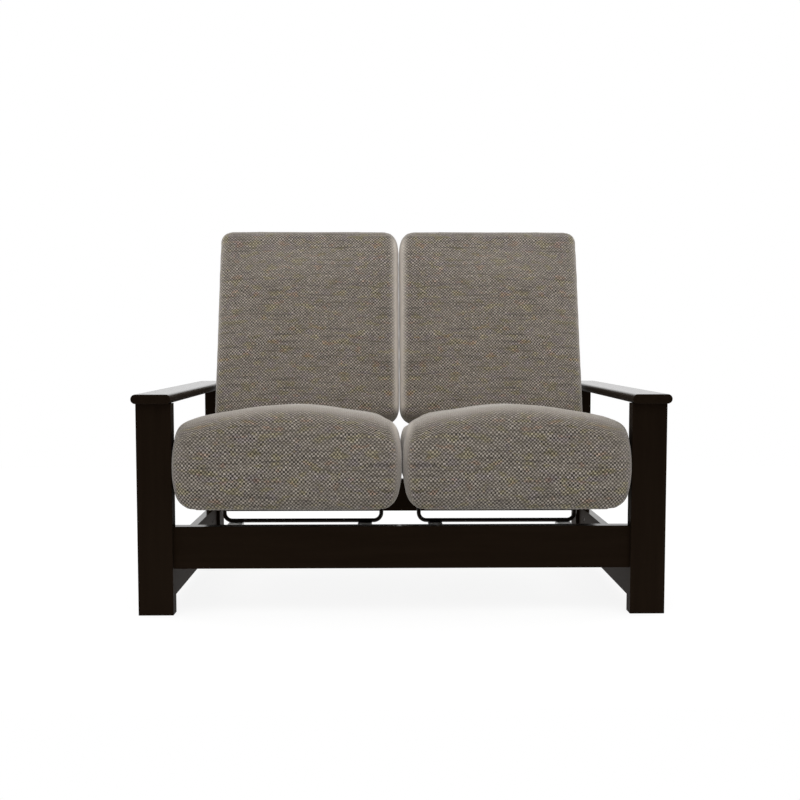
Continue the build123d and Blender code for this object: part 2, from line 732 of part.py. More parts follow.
for side, sign in (("left", -1), ("right", 1)):
    centre = Vector(across(sign), 0, 0)
    tube_offsets = [centre + Vector(offset, 0, 0) for offset in (-half_spacing, half_spacing)]

    with BuildPart() as springs:
        for x in (sign * leaf_inner_x, sign * leaf_outer_x):
            with BuildSketch(Plane.XY.offset(leaf_bottom)):
                with Locations((x, (leaf_front_y + leaf_rear_y) / 2)):
                    RectangleRounded(leaf_width, leaf_rear_y - leaf_front_y, leaf_round)
                with Locations(*[place for place in leaf_bolt_places if place[0] == x]):
                    Circle(leaf_bolt_hole / 2, mode=Mode.SUBTRACT)
            extrude(amount=leaf_thickness)
    save(springs, f"{side}_leaf_springs")

    with BuildPart() as side_tubes:
        for offset in tube_offsets:
            add(bent_tube([offset + seat_point(0), offset + frame_corner, offset + back_point(hoop_start)],
                          tube_bend))
    save(side_tubes, f"{side}_side_tubes")

    with BuildPart() as back_hoop:
        corners = [
            tube_offsets[0] + back_point(hoop_start),
            tube_offsets[0] + back_point(back_height),
            tube_offsets[1] + back_point(back_height),
            tube_offsets[1] + back_point(hoop_start),
        ]
        add(bent_tube(corners, hoop_bend))
    save(back_hoop, f"{side}_back_hoop")

    with BuildPart() as cross_tubes:
        add(cross_tube(centre + seat_point(front_tube_from_end), seat_run))
        add(cross_tube(centre + seat_point(rear_tube_station), seat_run))
        add(cross_tube(centre + back_point(lower_back_tube_height), back_run))
    save(cross_tubes, f"{side}_cross_tubes")

    with BuildPart() as tube_plugs:
        for offset in tube_offsets:
            with BuildSketch(Plane(origin=offset + seat_point(0), z_dir=seat_run)):
                Circle(tube_radius)
            extrude(amount=-plug_flange)
            with BuildSketch(Plane(origin=offset + seat_point(0), z_dir=seat_run)):
                Circle(tube_radius - tube_wall - plug_gap)
            extrude(amount=plug_stem)
        chamfer(tube_plugs.edges().group_by(Axis.Y)[0], length=plug_flange / 2)
    save(tube_plugs, f"{side}_tube_plugs")

    with BuildPart() as cradle_rod:
        with BuildLine() as path:
            FilletPolyline(
                (across(sign, -half_spacing), rod_y, seat_axis_at_rod),
                (across(sign, -half_spacing), rod_y, rod_z),
                (across(sign, half_spacing), rod_y, rod_z),
                (across(sign, half_spacing), rod_y, seat_axis_at_rod),
                radius=rod_bend,
            )
        with BuildSketch(Plane(origin=path.line @ 0, z_dir=path.line % 0)):
            Circle(rod_diameter / 2)
        sweep(path=path.line)
        for offset in tube_offsets:
            with BuildSketch(Plane(origin=offset + rod_on_seat, z_dir=seat_run)):
                Circle(tube_radius + weld_gap)
            extrude(amount=tube_diameter, both=True, mode=Mode.SUBTRACT)
    save(cradle_rod, f"{side}_cradle_rod")

    with BuildPart() as seat_straps:
        for station in seat_strap_stations:
            add(strap(centre + seat_point(station), seat_run, seat_normal))
    save(seat_straps, f"{side}_seat_straps")

    with BuildPart() as back_straps:
        for station in back_strap_stations:
            add(strap(centre + back_point(station), back_run, back_normal))
    save(back_straps, f"{side}_back_straps")

    with BuildPart() as seat_cushion:
        add(cushion(seat_point, across(sign), seat_run, seat_stations,
                    seat_cushion_side, seat_cushion_crown,
                    seat_cushion_corner, seat_cushion_shoulder))
    save(seat_cushion, f"{side}_seat_cushion")

    with BuildPart() as back_cushion:
        add(cushion(back_point, across(sign), back_run, back_stations,
                    back_cushion_side, back_cushion_crown,
                    back_cushion_corner, back_cushion_shoulder))
    save(back_cushion, f"{side}_back_cushion")
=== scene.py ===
import math

import bmesh
import bpy
import numpy as np
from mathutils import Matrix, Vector
from mathutils.bvhtree import BVHTree


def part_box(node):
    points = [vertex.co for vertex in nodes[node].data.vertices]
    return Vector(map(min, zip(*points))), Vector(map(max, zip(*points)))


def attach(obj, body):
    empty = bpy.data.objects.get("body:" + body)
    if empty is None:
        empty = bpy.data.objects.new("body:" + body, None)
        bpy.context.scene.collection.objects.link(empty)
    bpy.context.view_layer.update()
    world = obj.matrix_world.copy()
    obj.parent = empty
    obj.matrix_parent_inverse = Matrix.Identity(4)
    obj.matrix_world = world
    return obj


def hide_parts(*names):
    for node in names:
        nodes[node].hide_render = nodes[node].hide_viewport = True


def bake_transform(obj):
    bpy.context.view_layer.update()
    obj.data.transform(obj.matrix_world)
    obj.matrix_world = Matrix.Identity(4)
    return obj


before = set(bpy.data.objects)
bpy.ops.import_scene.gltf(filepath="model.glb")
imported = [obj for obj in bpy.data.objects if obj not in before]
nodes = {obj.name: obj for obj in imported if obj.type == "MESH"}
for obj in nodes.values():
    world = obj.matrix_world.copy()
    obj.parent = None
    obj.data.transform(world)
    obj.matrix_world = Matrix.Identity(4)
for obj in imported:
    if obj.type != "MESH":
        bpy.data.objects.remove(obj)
scene = bpy.context.scene
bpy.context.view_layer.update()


def middle_of(node):
    low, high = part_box(node)
    return (low + high) / 2


# Places read from the frame, in metres
SEAT_CENTRE = middle_of("right_side_tubes").x
HALF_CUSHION = middle_of("left_seat_cushion").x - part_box("left_seat_cushion")[0].x

# Sizes, places and slopes that the part's source works out, in metres and radians
HALF_SPACING = 0.2465
TUBE_RADIUS = 0.0127
SEAT_SLOPE = math.radians(5.0)
RECLINE = math.radians(16.8)
CORNER = Vector((0.0, 0.16180, 0.25123))
SEAT_START = Vector((0.0, -0.34860, 0.29588))
SEAT_RUN = Vector((0.0, math.cos(SEAT_SLOPE), -math.sin(SEAT_SLOPE)))
SEAT_UP = Vector((0.0, math.sin(SEAT_SLOPE), math.cos(SEAT_SLOPE)))
BACK_RUN = Vector((0.0, math.sin(RECLINE), math.cos(RECLINE)))
BACK_UP = Vector((0.0, -math.cos(RECLINE), math.sin(RECLINE)))
SUPPORT = 0.0158
FRONT_TUBE = 0.030
REAR_TUBE = 0.42958
BACK_TUBE = 0.195
HOOP_START = 0.734
ROD_AXIS = (0.0044, 0.265)
ROD_RADIUS = 0.00635

# The two sides of the object, and the start, direction and upper side of a seat's two panels
SIDES = (("left", -1), ("right", 1))
PANELS = {
    "seat": (SEAT_START, SEAT_RUN, SEAT_UP),
    "back": (CORNER, BACK_RUN, BACK_UP),
}

# Camera at the photograph's viewpoint
CAMERA_PLACE = (-0.0449, -2.9729, 0.7333)
CAMERA_TILT = 0.05938
CAMERA_TURN = 0.01506
CAMERA_LENS = 42.825
SENSOR_WIDTH = 36.0

# Each cushion: how far it may swell, the rounding of its ends and its sides, and its wrinkles' seed
CUSHIONS = {
    "seat": {"swell": 0.009, "roll": 0.055, "side_roll": 0.03, "seed": 11},
    "back": {"swell": 0.008, "roll": 0.034, "side_roll": 0.04, "seed": 23},
}

# Softening and blowing up of the cushions; rounds are those of smoothing
FORM_ROUNDS = 4
NORMAL_ROUNDS = 5
STEP_ROUNDS = 14
AWAY_ROUNDS = 24
VOXEL = 0.0065
SHRINK = 0.003
PRESSURE = 4.0
SIM_FRAMES = 20
UNDER_SWELL = 0.0035
UNDER_STEEPNESS = 1.6
WAVES = 7
WRINKLE = 0.0006
FINE_WRINKLE = 0.0002
WRINKLE_SIDE = 0.19
WRINKLE_WIDTH = 0.10
WRINKLE_SHARES = (0.6, 1.2)

# How far the cushions' sides stand from their middle, and draw in at the back's ends
INNER_REACH = 0.3051
SEAT_OUTER_REACH = 0.3078
BACK_OUTER_REACH = (0.2990, 0.3025)
BACK_TOP_DRAW = 0.0075
BACK_TOP_LENGTH = 0.075
BACK_FOOT_DRAW = 0.006
BACK_FOOT_LENGTH = 0.06
SIDE_STATIONS = 26

# The back's crown is taken down towards its top end
CROWN_LOSS = 0.031
CROWN_HALF_WIDTH = 0.27
CROWN_START = 0.2
CROWN_LENGTH = 0.17
BACK_THICKNESS = 0.118

# Fullness of the seat; each stretch is a start and the length over which it grows or ends
SHOULDER_LIFT = 0.007
INNER_SHOULDER_SHARE = 1.35
SHOULDER_FROM = (0.13, 0.12)
SHOULDER_TO = (0.268, 0.036)
MIDDLE_LIFT = 0.006
MIDDLE_BEHIND_FRONT = (0.07, 0.13)
MIDDLE_FROM = (-0.12, 0.15)
MIDDLE_TO = (0.22, 0.08)
BEFORE_BACK = (0.24, 0.14)
TOP_BAND = (0.12, 0.09)
FRONT_PLUMP = 0.0105
PLUMP_LENGTH = 0.13
PLUMP_FROM = (0.2, 0.1)

# Painted sheen: how much lighter colour is painted where the cloth turns away, on the seat's top and
# inner side and all over the back
SEAT_TOP_PAINTED_SHEEN = 0.5
SEAT_INNER_PAINTED_SHEEN = 0.3
BACK_PAINTED_SHEEN = 0.1

# Seam under the cushion's edge: which way the cloth faces there, and the edge's rounding
SEAM_TURN = -0.97
SEAM_ROUND = 0.045
PINCH = 0.0016
PINCH_WIDTH = 0.0038
RIDGE = 0.0007
RIDGE_PLACE = 0.008
RIDGE_WIDTH = 0.005
SEAM_LINE = 0.0012

# Cloth: one cell of the weave, how much a top or a side faces its way, and the underside's
# place on the map
CLOTH_CELL = 0.0052
TOP_FACING = 0.75
SIDE_FACING = 0.3
UNDER_SHIFT = (2.0, 3.0)

# Webbing straps
STRAP_WIDTH = 0.042
STRAP_THICKNESS = 0.0025
STRAP_HOOK = 0.016
STRAP_GAP = 0.0002
STRAP_SAG = 0.004
STRAP_BREAK = 0.004
STRAP_SPACING_ON_MAP = 0.7
STRAP_EDGES = (-1.0, -0.93, -0.5, 0.0, 0.5, 0.93, 1.0)
STRAP_EDGE_SHARE = 0.35
HOOK_STEPS = 5
TURN_STEPS = 16
SPAN_STEPS = 18
RIB = 0.0021
THREAD = 0.0026

# Leaf springs and weld beads
LEAF_CUTS = 40
BEAD = 0.0016
BEAD_RIPPLE = 0.22
BEAD_SIDES = 10
BEAD_STEPS = 72

# Floor: its edges, and how bright it is where it is seen
FLOOR_SIDE = 3.2
FLOOR_FRONT = -1.1
FLOOR_BACK = 2.6
FLOOR_GLOW = 1.13
FLOOR_SHADED_SHARE = 0.22


camera_data = bpy.data.cameras.new("camera")
camera_data.sensor_width = SENSOR_WIDTH
camera_data.lens = CAMERA_LENS
camera = bpy.data.objects.new("camera", camera_data)
scene.collection.objects.link(camera)
camera.location = CAMERA_PLACE
camera.rotation_euler = (math.pi / 2 - CAMERA_TILT, 0.0, -CAMERA_TURN)
scene.camera = camera
scene.view_settings.view_transform = "Standard"


class NodeTree:
    """The shader nodes of a material or a world, made by short calls."""

    def __init__(self, owner, output):
        owner.use_nodes = True
        self.owner = owner
        self.tree = owner.node_tree
        self.tree.nodes.clear()
        self.output = self.tree.nodes.new(output)

    def set(self, socket, value):
        if isinstance(value, bpy.types.NodeSocket):
            self.tree.links.new(value, socket)
        elif value is not None:
            socket.default_value = value

    def node(self, kind, inputs=None, **settings):
        node = self.tree.nodes.new(kind)
        for key, value in settings.items():
            setattr(node, key, value)
        for key, value in (inputs or {}).items():
            self.set(node.inputs[key], value)
        return node

    def math(self, operation, a, b=None):
        node = self.node("ShaderNodeMath", operation=operation)
        for socket, value in zip(node.inputs, (a, b)):
            self.set(socket, value)
        return node.outputs[0]

    def vector(self, operation, a, b):
        return self.node("ShaderNodeVectorMath", {0: a, 1: b}, operation=operation).outputs[0]

    def combine(self, x, y, z=0.0):
        return self.node("ShaderNodeCombineXYZ", {"X": x, "Y": y, "Z": z}).outputs[0]

    def scaled(self, x, y, x_scale, y_scale):
        return self.combine(self.math("MULTIPLY", x, x_scale), self.math("MULTIPLY", y, y_scale))

    def split(self, vector):
        return self.node("ShaderNodeSeparateXYZ", {"Vector": vector}).outputs

    def channels(self, colour):
        return self.node("ShaderNodeSeparateColor", {"Color": colour}).outputs

    def wave(self, value, half_wave=1.0):
        """Sine of the value, with a half wave over each length given."""
        return self.math("SINE", self.math("MULTIPLY", value, math.pi / half_wave))

    def remap(self, value, low, high, to_low=0.0, to_high=1.0):
        node = self.node("ShaderNodeMapRange", {
            "Value": value, "From Min": low, "From Max": high, "To Min": to_low, "To Max": to_high})
        return node.outputs[0]

    def noise(self, at, scale, detail=2.0, rough=0.5, output="Fac"):
        node = self.node("ShaderNodeTexNoise", {
            "Vector": at, "Scale": scale, "Detail": detail, "Roughness": rough})
        return node.outputs[output]

    def attribute(self, name):
        return self.node("ShaderNodeAttribute", attribute_name=name).outputs["Fac"]

    def between(self, share, a, b):
        return self.node("ShaderNodeMix", {0: share, 2: a, 3: b}, data_type="FLOAT").outputs[0]

    def mix(self, share, a, b, kind="MIX"):
        node = self.node("ShaderNodeMix", data_type="RGBA", blend_type=kind)
        for key, value in ((0, share), (6, a), (7, b)):
            self.set(node.inputs[key], value)
        return node.outputs[2]

    def mix_shaders(self, share, a, b):
        return self.node("ShaderNodeMixShader", {0: share, 1: a.outputs[0], 2: b.outputs[0]})

    def bump(self, height, distance, strength):
        node = self.node("ShaderNodeBump", {
            "Strength": strength, "Distance": distance, "Height": height})
        return node.outputs[0]

    def finish(self, shader):
        """The material or world, with its last shader linked."""
        self.tree.links.new(shader.outputs[0], self.output.inputs[0])
        return self.owner


class Material(NodeTree):
    """A material that ends in a principled shader, unless it is finished with another."""

    def __init__(self, name):
        super().__init__(bpy.data.materials.new(name), "ShaderNodeOutputMaterial")

    def principled(self, inputs):
        return self.finish(self.node("ShaderNodeBsdfPrincipled", inputs))

    def object_place(self):
        return self.node("ShaderNodeTexCoord").outputs["Object"]

    def by_facing(self, upright, flat):
        """A value for upright faces and one for faces that look up, where hands and rain polish."""
        normal = self.node("ShaderNodeTexCoord").outputs["Normal"]
        return self.between(self.remap(self.split(normal)[2], 0.35, 0.9), upright, flat)


# Satin boards with a faint grain along their length
def board_material(name, stretch):
    dark = (0.0076, 0.0048, 0.0029, 1)
    light = (0.0104, 0.0067, 0.0041, 1)
    clouded = (0.0098, 0.0063, 0.0038, 1)
    m = Material(name)
    at = m.vector("MULTIPLY", m.object_place(), stretch)
    grain = m.noise(at, 60.0, 5.0, 0.62)
    fine = m.noise(at, 420.0, 3.0, 0.6)
    cloud = m.noise(m.object_place(), 7.0, 2.0)
    tone = m.mix(m.remap(grain, 0.35, 0.68), dark, light)
    tone = m.mix(m.remap(cloud, 0.3, 0.7, 0.0, 0.3), tone, clouded)
    height = m.math("ADD", m.math("MULTIPLY", grain, 0.6), m.math("MULTIPLY", fine, 0.4))
    return m.principled({
        "Base Color": tone,
        "Roughness": m.math("ADD", m.by_facing(0.72, 0.12), m.remap(fine, 0.3, 0.7, 0.0, 0.05)),
        "Specular IOR Level": 0.4,
        "Specular Tint": (0.22, 0.12, 0.06, 1),
        "Normal": m.bump(height, 0.00003, 0.2),
    })


# Powder coat: fine orange peel and a little dust
def coated_material(name, colour, rough):
    dusty = [1.5 * channel for channel in colour]
    m = Material(name)
    place = m.object_place()
    peel = m.noise(place, 900.0, 2.0)
    dust = m.noise(place, 18.0, 4.0, 0.6)
    tone = m.mix(m.remap(dust, 0.35, 0.75, 0.0, 0.5), (*colour, 1), (*dusty, 1))
    uneven = m.remap(dust, 0.3, 0.7, -0.03, 0.03)
    return m.principled({
        "Base Color": tone,
        "Roughness": m.math("ADD", m.by_facing(rough + 0.12, rough), uneven),
        "Specular IOR Level": 0.5,
        "Specular Tint": (0.3, 0.24, 0.2, 1),
        "Normal": m.bump(peel, 0.00006, 0.5),
    })


# Plated steel with fine drawn marks
def steel_material(name):
    m = Material(name)
    place = m.object_place()
    marks = m.noise(m.vector("MULTIPLY", place, (1.0, 1.0, 12.0)), 700.0, 3.0)
    stain = m.noise(place, 60.0, 3.0)
    tone = m.mix(m.remap(stain, 0.4, 0.75), (0.50, 0.49, 0.47, 1), (0.36, 0.34, 0.32, 1))
    return m.principled({
        "Base Color": tone,
        "Metallic": 1.0,
        "Roughness": m.remap(marks, 0.3, 0.7, 0.26, 0.42),
        "Normal": m.bump(marks, 0.00003, 0.4),
    })


# Zinc coat on the leaf springs: pale, mottled, half matt
def leaf_material(name):
    m = Material(name)
    place = m.object_place()
    spangle = m.node("ShaderNodeTexVoronoi", {"Vector": place, "Scale": 160.0}).outputs["Color"]
    stain = m.noise(place, 40.0, 4.0)
    tone = m.mix(m.channels(spangle)[0], (0.80, 0.80, 0.79, 1), (0.92, 0.92, 0.91, 1))
    tone = m.mix(m.remap(stain, 0.45, 0.75, 0.0, 0.5), tone, (0.40, 0.39, 0.38, 1))
    return m.principled({
        "Base Color": tone,
        "Metallic": 0.1,
        "Roughness": m.remap(stain, 0.3, 0.7, 0.3, 0.42),
        "Normal": m.bump(stain, 0.0001, 0.3),
    })


def plastic_material(name, colour):
    worn = [1.8 * channel for channel in colour]
    m = Material(name)
    grain = m.noise(m.object_place(), 1500.0, 2.0)
    wear = m.noise(m.object_place(), 90.0, 3.0)
    return m.principled({
        "Base Color": m.mix(m.remap(wear, 0.4, 0.8, 0.0, 0.4), (*colour, 1), (*worn, 1)),
        "Roughness": m.remap(wear, 0.3, 0.7, 0.42, 0.55),
        "Normal": m.bump(grain, 0.00004, 0.5),
    })


def wood_material(name):
    m = Material(name)
    rings = m.noise(m.vector("MULTIPLY", m.object_place(), (1.0, 1.0, 0.12)), 500.0, 4.0)
    return m.principled({
        "Base Color": m.mix(rings, (0.50, 0.34, 0.19, 1), (0.33, 0.20, 0.10, 1)),
        "Roughness": 0.6,
        "Normal": m.bump(rings, 0.0001, 0.4),
    })


# Webbing: ribs across, read from the piece's own map in metres, with painted shade darkening the
# colour between the ribs
def webbing_material(name):
    m = Material(name)
    at = m.split(m.node("ShaderNodeUVMap", uv_map="Cloth").outputs[0])
    along, across = at[0], at[1]
    rib = m.math("ABSOLUTE", m.wave(along, RIB))
    row = m.math("FLOOR", m.math("DIVIDE", along, RIB))
    stagger = m.math("MULTIPLY", m.math("MODULO", row, 2.0), 0.5)
    thread = m.wave(m.math("ADD", m.math("DIVIDE", across, THREAD), stagger))
    height = m.math("MULTIPLY", rib, m.math("ABSOLUTE", thread))
    fleck = m.noise(m.scaled(along, across, 30.0, 400.0), 1.0, 3.0)
    # Painted shade: the colour is darker where the ribs and threads dip and lighter on their tops
    tone = m.mix(height, (0.008, 0.0065, 0.0055, 1), (0.032, 0.026, 0.022, 1))
    tone = m.mix(m.remap(fleck, 0.45, 0.7, 0.0, 0.5), tone, (0.05, 0.042, 0.036, 1))
    return m.principled({
        "Base Color": tone,
        "Roughness": 0.72,
        "Sheen Weight": 0.15,
        "Normal": m.bump(height, 0.0004, 0.9),
    })


def cloth_cells(m):
    """Places across and along the cloth in cells of its weave, which wanders by half a cell."""
    at = m.split(m.node("ShaderNodeUVMap", uv_map="Cloth").outputs[0])
    straight = [m.math("DIVIDE", at[axis], CLOTH_CELL) for axis in (0, 1)]
    bent = m.channels(m.noise(m.combine(*straight), 0.2, 2.0, output="Color"))
    return [
        m.math("ADD", place, m.remap(bent[axis], 0.2, 0.8, -0.5, 0.5))
        for axis, place in enumerate(straight)]


def weave_height(m, u, v, over):
    """Height of cells of two threads, the weft on top where over is 1."""
    inside = [m.math("FRACT", u), m.math("FRACT", v)]
    swell = [m.wave(place) for place in inside]
    pair = [m.math("POWER", m.math("ABSOLUTE", m.wave(place, 0.5)), 0.6) for place in inside]
    weft = m.math("MULTIPLY", swell[0], pair[1])
    warp = m.math("MULTIPLY", swell[1], pair[0])
    return m.between(over, warp, weft)


def yarn_tone(m, u, v, column, row, over):
    """Taupe yarns: a yarn's shade runs along it, and each crossing has a shade of its own."""
    weft_yarn = m.noise(m.scaled(u, row, 0.05, 7.31), 1.0, 3.0, 0.7)
    warp_yarn = m.noise(m.scaled(column, v, 5.77, 0.3), 1.0, 3.0, 0.7)
    light = m.mix(m.remap(warp_yarn, 0.35, 0.65), (0.42, 0.375, 0.32, 1), (0.64, 0.58, 0.51, 1))
    dark = m.mix(m.remap(weft_yarn, 0.38, 0.6), (0.012, 0.010, 0.009, 1), (0.10, 0.083, 0.066, 1))
    spot = m.node("ShaderNodeTexWhiteNoise", {"Vector": m.combine(column, row)}, noise_dimensions="2D")
    loose = m.noise(m.combine(u, v), 0.16, 2.0, 0.6)
    slub = m.noise(m.scaled(u, v, 0.03, 0.85), 1.0, 2.0, 0.6)
    tone = m.mix(over, light, dark)
    for share, colour in (
        (m.remap(spot.outputs["Value"], 0.0, 1.0, 0.0, 0.4), (0.16, 0.138, 0.112, 1)),
        (m.remap(loose, 0.46, 0.66, 0.0, 0.36), (0.17, 0.147, 0.12, 1)),
        (m.remap(slub, 0.52, 0.70, 0.0, 0.55), (0.045, 0.038, 0.033, 1)),
    ):
        tone = m.mix(share, tone, colour)
    return tone


def with_coloured_lengths(m, tone, u, v):
    """The tone with lengths of coloured yarn, a hand's breadth apart, and faint clouds."""
    place = m.combine(u, m.math("MULTIPLY", v, 2.2))
    for shift, low, tint in (
        (0.0, 0.55, (1.04, 1.04, 0.74, 1)),
        (41.0, 0.61, (1.18, 0.94, 0.82, 1)),
        (83.0, 0.57, (0.95, 0.93, 1.06, 1)),
    ):
        patch = m.noise(m.vector("ADD", place, (shift, shift, shift)), 0.10, 2.0, 0.55)
        share = m.remap(patch, low, low + 0.08, 0.0, 0.75)
        tone = m.mix(share, tone, m.mix(1.0, tone, tint, "MULTIPLY"))
    cloud = m.noise(place, 0.012, 3.0)
    return m.mix(m.remap(cloud, 0.35, 0.65, 0.0, 0.16), tone, (0.30, 0.27, 0.23, 1))


def with_painted_sheen(m, tone):
    """The tone with a painted sheen: a lighter colour laid where the cloth turns away from the view,
    as far as the painted sheen share allows.
    """
    turned = m.node("ShaderNodeLayerWeight", {"Blend": 0.5}).outputs["Facing"]
    painted_sheen_share = m.attribute("painted_sheen_share")
    painted_sheen_colour = m.mix(m.remap(painted_sheen_share, 0.55, 1.0), (0.40, 0.362, 0.322, 1), (0.85, 0.78, 0.70, 1))
    share = m.math("MULTIPLY", m.remap(turned, 0.08, 0.5), m.remap(painted_sheen_share, 0.0, 0.58, 0.0, 0.92))
    return m.mix(share, tone, painted_sheen_colour)


# Cushion cloth: a basket weave in taupe yarns, with slubs, coloured lengths and a seam, painted shade
# in the weave's hollows and a painted sheen where the cloth turns away
def cloth_material(name):
    m = Material(name)
    u, v = cloth_cells(m)
    column, row = m.math("FLOOR", u), m.math("FLOOR", v)
    over = m.math("FLOORED_MODULO", m.math("ADD", column, row), 2.0)
    height = weave_height(m, u, v, over)
    tone = with_coloured_lengths(m, yarn_tone(m, u, v, column, row, over), u, v)
    # Painted shade: the colour is darkened to half where the weave's threads dip, and made a touch
    # lighter on their tops
    painted_weave_shade = m.mix(m.remap(height, 0.0, 0.55), (0.5, 0.49, 0.48, 1), (1.06, 1.06, 1.06, 1))
    tone = with_painted_sheen(m, m.mix(1.0, tone, painted_weave_shade, "MULTIPLY"))
    off_seam = m.remap(m.math("ABSOLUTE", m.attribute("seam")), 0.0, SEAM_LINE)
    fuzz = m.noise(m.scaled(u, v, 3.0, 3.0), 1.0, 2.0)
    height = m.math("ADD", height, m.math("MULTIPLY", fuzz, 0.3))
    height = m.math("MULTIPLY", height, m.remap(off_seam, 0.0, 1.0, 0.2, 1.0))
    return m.principled({
        "Base Color": m.mix(off_seam, (0.085, 0.072, 0.06, 1), tone),
        "Roughness": 0.85,
        "Specular IOR Level": 0.25,
        "Sheen Weight": 0.95,
        "Sheen Roughness": 0.3,
        "Sheen Tint": (0.95, 0.92, 0.88, 1),
        "Normal": m.bump(height, 0.0008, 0.75),
    })


boards = {
    "x": board_material("board along x", (0.06, 1.0, 1.0)),
    "y": board_material("board along y", (1.0, 0.06, 1.0)),
    "z": board_material("board along z", (1.0, 1.0, 0.06)),
}
dark_steel = coated_material("dark coated steel", (0.0075, 0.0050, 0.0040), 0.2)
tube_coat = coated_material("coated tube", (0.0095, 0.0062, 0.0048), 0.22)
bright_steel = steel_material("plated steel")
leaf_steel = leaf_material("zinc coated leaf steel")
nylon = plastic_material("black nylon", (0.012, 0.012, 0.012))
dowel_wood = wood_material("dowel wood")
webbing = webbing_material("webbing")
cloth = cloth_material("cushion cloth")

FINISHES = {
    "arm": boards["y"],
    "front_leg": boards["z"],
    "rear_leg": boards["z"],
    "front_rail": boards["x"],
    "rear_rail": boards["x"],
    "side_rail": boards["y"],
    "arm_dowels": dowel_wood,
    "foot_glides": nylon,
    "front_corner_brackets": dark_steel,
    "rear_corner_brackets": dark_steel,
    "bracket_screws": bright_steel,
    "beam_screws": bright_steel,
    "rail_bolts": bright_steel,
    "cross_nuts": bright_steel,
    "spring_bolts": bright_steel,
    "spring_beam": dark_steel,
    "leaf_springs": leaf_steel,
    "side_tubes": tube_coat,
    "cross_tubes": tube_coat,
    "back_hoop": tube_coat,
    "tube_plugs": nylon,
    "cradle_rod": dark_steel,
    "seat_straps": webbing,
    "back_straps": webbing,
    "seat_cushion": cloth,
    "back_cushion": cloth,
}


def finish_of(node):
    """The finish whose key is the longest that the node's name holds."""
    return FINISHES[max((key for key in FINISHES if key in node), key=len)]


for name, node in nodes.items():
    node.data.materials.clear()
    node.data.materials.append(finish_of(name))


def new_piece(name, mesh, material, body=None):
    piece = bpy.data.objects.new(name, mesh)
    scene.collection.objects.link(piece)
    mesh.materials.clear()
    mesh.materials.append(material)
    if body:
        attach(piece, body)
    return piece


def new_mesh(name, bm):
    """The mesh made from a filled bmesh, with its faces turned outwards and smooth."""
    bmesh.ops.recalc_face_normals(bm, faces=bm.faces[:])
    for face in bm.faces:
        face.smooth = True
    mesh = bpy.data.meshes.new(name)
    bm.to_mesh(mesh)
    bm.free()
    return mesh


def places_of(mesh):
    co = np.empty(len(mesh.vertices) * 3)
    mesh.vertices.foreach_get("co", co)
    return co.reshape(-1, 3)


def move_to(mesh, co):
    mesh.vertices.foreach_set("co", co.ravel())
    mesh.update()


def normals_of(mesh):
    normals = np.empty(len(mesh.vertices) * 3)
    mesh.vertex_normals.foreach_get("vector", normals)
    return normals.reshape(-1, 3)


def add_values(mesh, name, values):
    mesh.attributes.new(name, "FLOAT", "POINT").data.foreach_set("value", values)


def values_of(mesh, name):
    values = np.empty(len(mesh.vertices))
    mesh.attributes[name].data.foreach_get("value", values)
    return values


def smoothed(mesh, values, rounds, share=0.5):
    """Values at the vertices, each drawn towards the mean of its neighbours."""
    edges = np.empty(len(mesh.edges) * 2, int)
    mesh.edges.foreach_get("vertices", edges)
    a, b = edges.reshape(-1, 2).T
    count = np.bincount(a, minlength=len(values)) + np.bincount(b, minlength=len(values))
    values = values.reshape(len(values), -1).copy()
    for _ in range(rounds):
        total = np.zeros_like(values)
        for column in range(values.shape[1]):
            total[:, column] = (
                np.bincount(a, values[b, column], len(values))
                + np.bincount(b, values[a, column], len(values))
            )
        values += share * (total / count[:, None] - values)
    return values


def with_modifier(mesh, kind, **settings):
    """A copy of the mesh with one modifier applied."""
    holder = bpy.data.objects.new("holder", mesh)
    scene.collection.objects.link(holder)
    modifier = holder.modifiers.new("step", kind)
    for key, value in settings.items():
        setattr(modifier, key, value)
    graph = bpy.context.evaluated_depsgraph_get()
    made = bpy.data.meshes.new_from_object(holder.evaluated_get(graph))
    bpy.data.objects.remove(holder)
    return made


def inflated(mesh):
    """Where the vertices are after the mesh is blown up as a closed cloth."""
    holder = bpy.data.objects.new("holder", mesh)
    scene.collection.objects.link(holder)
    modifier = holder.modifiers.new("cloth", "CLOTH")
    settings = modifier.settings
    settings.quality = 5
    settings.mass = 0.3
    settings.tension_stiffness = 15
    settings.compression_stiffness = 15
    settings.shear_stiffness = 5
    settings.bending_stiffness = 0.4
    settings.use_pressure = True
    settings.uniform_pressure_force = PRESSURE
    settings.effector_weights.gravity = 0.0
    modifier.collision_settings.use_collision = False
    modifier.point_cache.frame_start = 1
    modifier.point_cache.frame_end = SIM_FRAMES
    for number in range(1, SIM_FRAMES + 1):
        scene.frame_set(number)
    graph = bpy.context.evaluated_depsgraph_get()
    co = places_of(holder.evaluated_get(graph).data)
    bpy.data.objects.remove(holder)
    scene.frame_set(1)
    return co


def blown_up(mesh, co, normals, facing, swell):
    """Places of the blown up cloth, no further out than the cushion may swell."""
    step = inflated(mesh) - co
    # The filling keeps the sides from being drawn in
    outward = (step * normals).sum(1)
    step = step - normals * np.minimum(outward, 0)[:, None]
    length = np.linalg.norm(step, axis=1)
    # The underside rests on the straps; the crown and the sides may swell
    under = np.clip(-facing[:, 2] * UNDER_STEEPNESS, 0, 1)
    limit = UNDER_SWELL + (swell - UNDER_SWELL) * (1 - under)
    step = step * np.minimum(1, limit / np.maximum(length, 1e-9))[:, None]
    return co + smoothed(mesh, step, STEP_ROUNDS)


